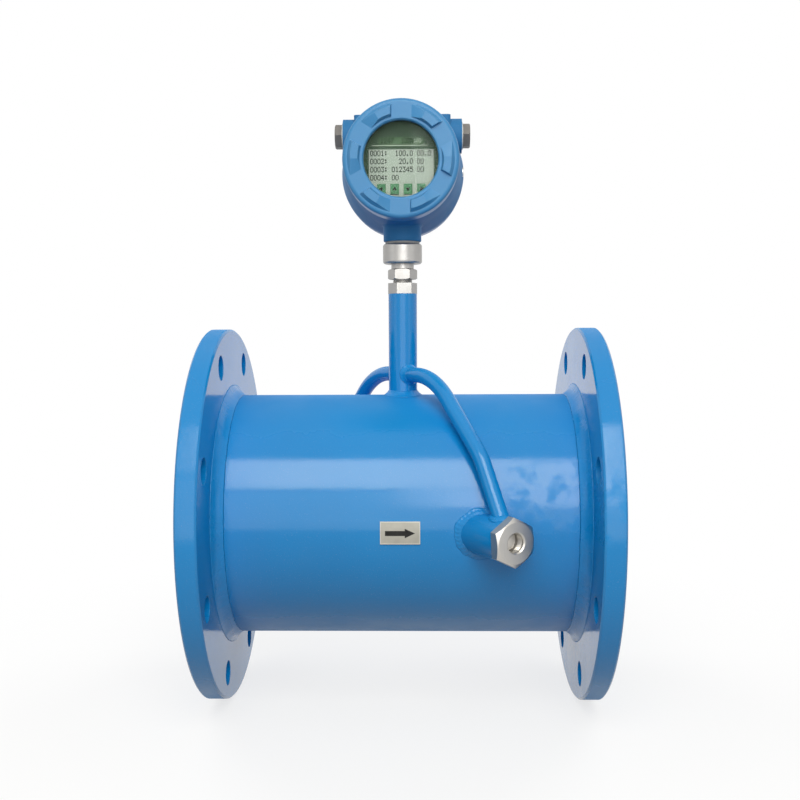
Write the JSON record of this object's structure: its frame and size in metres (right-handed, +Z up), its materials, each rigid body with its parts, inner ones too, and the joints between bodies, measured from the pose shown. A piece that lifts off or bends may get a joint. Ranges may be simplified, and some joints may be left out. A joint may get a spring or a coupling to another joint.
{
  "type": "ultrasonic flow meter",
  "caption": "Flanged inline ultrasonic flow meter: steel measuring tube with slanting transducer ports, stem and swivelling display head.",
  "frame": {"origin": "on the measuring tube's axis, at mid length under the stem", "axes": "+X along the tube with the flow, -Y towards the reader of the display, +Z up the stem"},
  "size_m": [0.35, 0.34, 0.5397],
  "materials": {
    "gloss_blue_paint": "gloss paint",
    "head_blue_enamel": "satin enamel on cast aluminium",
    "turned_stainless": "turned and brushed",
    "plug_steel": "dull plated",
    "screw_steel": "zinc plated",
    "black_rubber": "matte",
    "grey_gasket": "matte",
    "cable_sheath": "satin sheath",
    "black_plastic": "moulded",
    "plate_aluminium": "satin plate",
    "window_glass": "clear",
    "black_anodised_ring": "black anodised",
    "white_nylon": "moulded",
    "faceplate_green": "printed film",
    "lcd_cell": "liquid crystal cell",
    "key_green": "moulded",
    "circuit_board": "solder mask",
    "standoff_brass": "turned",
    "terminal_grey": "moulded"
  },
  "bodies": {
    "meter_body": {"measuring_tube": "gloss_blue_paint", "inlet_flange": "gloss_blue_paint", "outlet_flange": "gloss_blue_paint", "inlet_flange_weld": "gloss_blue_paint", "outlet_flange_weld": "gloss_blue_paint", "front_port_boss": "gloss_blue_paint", "rear_port_boss": "gloss_blue_paint", "front_port_weld": "gloss_blue_paint", "rear_port_weld": "gloss_blue_paint", "stem_tube": "gloss_blue_paint", "stem_weld": "gloss_blue_paint", "front_conduit": "gloss_blue_paint", "rear_conduit": "gloss_blue_paint", "front_conduit_welds": "gloss_blue_paint", "rear_conduit_welds": "gloss_blue_paint", "front_transducer": "turned_stainless", "rear_transducer": "turned_stainless", "front_thrust_sleeve": "turned_stainless", "rear_thrust_sleeve": "turned_stainless", "front_port_cap": "turned_stainless", "rear_port_cap": "turned_stainless", "stem_adapter": "turned_stainless", "front_transducer_seal": "black_rubber", "rear_transducer_seal": "black_rubber", "swivel_seal": "black_rubber", "front_signal_cable": "cable_sheath", "rear_signal_cable": "cable_sheath", "signal_plug": "black_plastic", "flow_arrow_plate": "plate_aluminium"},
    "head": {"head_collar": "turned_stainless", "collar_gasket": "grey_gasket", "transmitter_housing": "head_blue_enamel", "left_entry_plug": "plug_steel", "right_entry_plug": "plug_steel", "left_entry_washer": "white_nylon", "right_entry_washer": "white_nylon", "ground_screw": "screw_steel", "display_faceplate": "faceplate_green", "lcd_module": "lcd_cell", "key_switches": "black_plastic", "display_board": "circuit_board", "main_board": "circuit_board", "display_standoffs": "standoff_brass", "board_standoffs": "standoff_brass", "faceplate_screws": "screw_steel", "terminal_block": "terminal_grey", "terminal_screws": "screw_steel"},
    "lock_nut": {"lock_nut": "turned_stainless"},
    "front_seal_carrier": {"front_cover_seal": "black_rubber"},
    "front_cover": {"front_cover": "head_blue_enamel", "window_glass": "window_glass", "window_gasket": "black_rubber", "glass_retaining_ring": "black_anodised_ring"},
    "rear_seal_carrier": {"rear_cover_seal": "black_rubber"},
    "rear_cover": {"rear_cover": "head_blue_enamel"},
    "key_left": {"key_left": "key_green"},
    "key_up": {"key_up": "key_green"},
    "key_down": {"key_down": "key_green"},
    "key_enter": {"key_enter": "key_green"}
  },
  "joints": [
    {"name": "head_swivel", "type": "hinge", "parent": "meter_body", "child": "head", "pos_m": [0, 0, 0.22815], "axis": [0, 0, 1], "range_deg": [-175, 175]},
    {"name": "lock_nut_turn", "type": "hinge", "parent": "meter_body", "child": "lock_nut", "pos_m": [0, 0, 0.21435], "axis": [0, 0, 1], "range_deg": [-360, 0]},
    {"name": "front_cover_travel", "type": "slide", "parent": "head", "child": "front_seal_carrier", "axis": [0, -1, 0], "range_m": [0, 0.012]},
    {"name": "front_cover_turn", "type": "hinge", "parent": "front_seal_carrier", "child": "front_cover", "pos_m": [0, -0.056, 0.31305], "axis": [0, -1, 0], "range_deg": [0, 2160]},
    {"name": "rear_cover_travel", "type": "slide", "parent": "head", "child": "rear_seal_carrier", "axis": [0, 1, 0], "range_m": [0, 0.012]},
    {"name": "rear_cover_turn", "type": "hinge", "parent": "rear_seal_carrier", "child": "rear_cover", "pos_m": [0, 0.071, 0.31305], "axis": [0, 1, 0], "range_deg": [0, 2160]},
    {"name": "key_left_press", "type": "slide", "parent": "head", "child": "key_left", "axis": [0, 1, 0], "range_m": [0, 0.0006], "stiffness_N_per_m": 800, "springref_m": -0.0002},
    {"name": "key_up_press", "type": "slide", "parent": "head", "child": "key_up", "axis": [0, 1, 0], "range_m": [0, 0.0006], "stiffness_N_per_m": 800, "springref_m": -0.0002},
    {"name": "key_down_press", "type": "slide", "parent": "head", "child": "key_down", "axis": [0, 1, 0], "range_m": [0, 0.0006], "stiffness_N_per_m": 800, "springref_m": -0.0002},
    {"name": "key_enter_press", "type": "slide", "parent": "head", "child": "key_enter", "axis": [0, 1, 0], "range_m": [0, 0.0006], "stiffness_N_per_m": 800, "springref_m": -0.0002}
  ],
  "couplings": [
    {"joint": "front_cover_travel", "follows": "front_cover_turn", "m_per_rad": 0.00031831},
    {"joint": "rear_cover_travel", "follows": "rear_cover_turn", "m_per_rad": 0.00031831}
  ]
}
